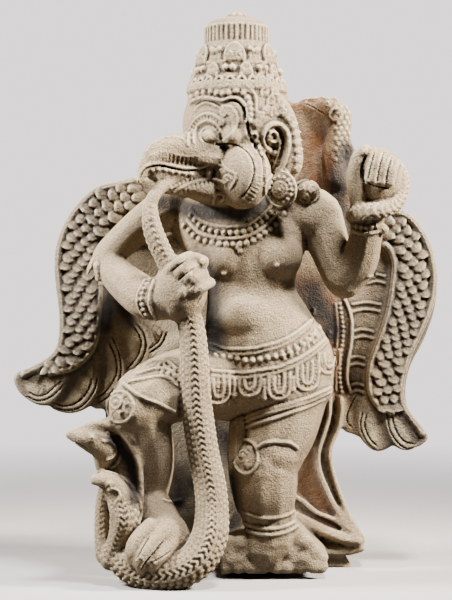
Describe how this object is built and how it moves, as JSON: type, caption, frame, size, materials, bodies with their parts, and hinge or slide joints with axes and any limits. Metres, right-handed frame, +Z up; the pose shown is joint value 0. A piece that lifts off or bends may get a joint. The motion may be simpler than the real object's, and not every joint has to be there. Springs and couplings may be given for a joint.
{
  "type": "garuda relief carving",
  "caption": "High relief in sandstone of a bird-faced winged deity in a tall crown, gripping and devouring a naga, cut from one block with a flat back.",
  "frame": {"origin": "centre of the bounding box's bottom face, at the ground", "axes": "+Z up, -Y out of the relief towards the viewer, +X to the viewer's right"},
  "size_m": [0.8528, 0.3664, 1.0981],
  "materials": {
    "sandstone": "worn, finely pitted sandstone, matt"
  },
  "bodies": {
    "root": {"garuda_relief": "sandstone"}
  },
  "joints": []
}
